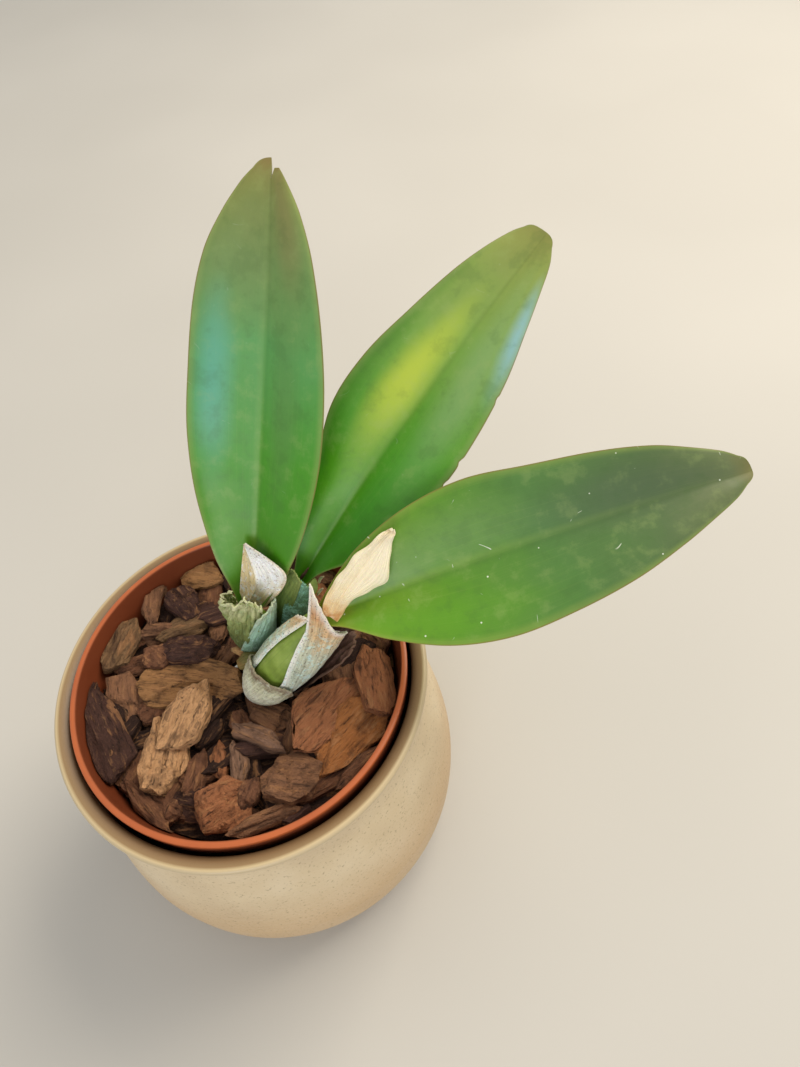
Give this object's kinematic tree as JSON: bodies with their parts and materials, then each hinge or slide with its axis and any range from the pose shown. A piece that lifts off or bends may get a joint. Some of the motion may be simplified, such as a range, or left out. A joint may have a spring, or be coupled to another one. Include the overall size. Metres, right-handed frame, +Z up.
{
  "type": "potted cattleya orchid",
  "caption": "Potted cattleya orchid without a flower: broad leathery leaves on sheathed pseudobulbs, in bark in a plastic grow pot, standing in a round stoneware cachepot.",
  "frame": {"origin": "centre of the cachepot's flat underside, on the surface that the pot stands on", "axes": "+Z up; +X to the right and +Y away from a viewer who looks at the front, with the leaves leaning to +X and +Y"},
  "size_m": [0.2418, 0.1636, 0.2462],
  "materials": {
    "stoneware": "satin beige speckled stoneware glaze",
    "terracotta_plastic": "satin moulded plastic",
    "pine_bark": "rough matt bark",
    "root_skin": "matt woody skin",
    "bulb_skin": "waxy green skin",
    "leaf_skin": "satin waxy leaf",
    "grey_green_sheath": "dry papery sheath",
    "silver_green_sheath": "dry papery sheath with a silvery bloom",
    "straw_green_sheath": "dry crumpled sheath",
    "brown_sheath": "dry withered sheath",
    "olive_sheath": "dry sheath, still green",
    "tan_sheath": "dry papery sheath"
  },
  "bodies": {
    "root": {"cachepot": "stoneware", "grow_pot": "terracotta_plastic", "bark_mix": "pine_bark", "rhizome_and_roots": "root_skin", "pseudobulb_right": "bulb_skin", "pseudobulb_left": "bulb_skin", "pseudobulb_middle": "bulb_skin", "leaf_left": "leaf_skin", "leaf_middle": "leaf_skin", "leaf_right": "leaf_skin", "sheath_right_cup": "grey_green_sheath", "sheath_right_wrap": "grey_green_sheath", "sheath_right_brown": "brown_sheath", "sheath_right_flower": "tan_sheath", "sheath_left_crumpled": "straw_green_sheath", "sheath_left_silver": "silver_green_sheath", "sheath_left_papery": "tan_sheath", "sheath_middle": "olive_sheath", "old_shoot": "olive_sheath"}
  },
  "joints": []
}
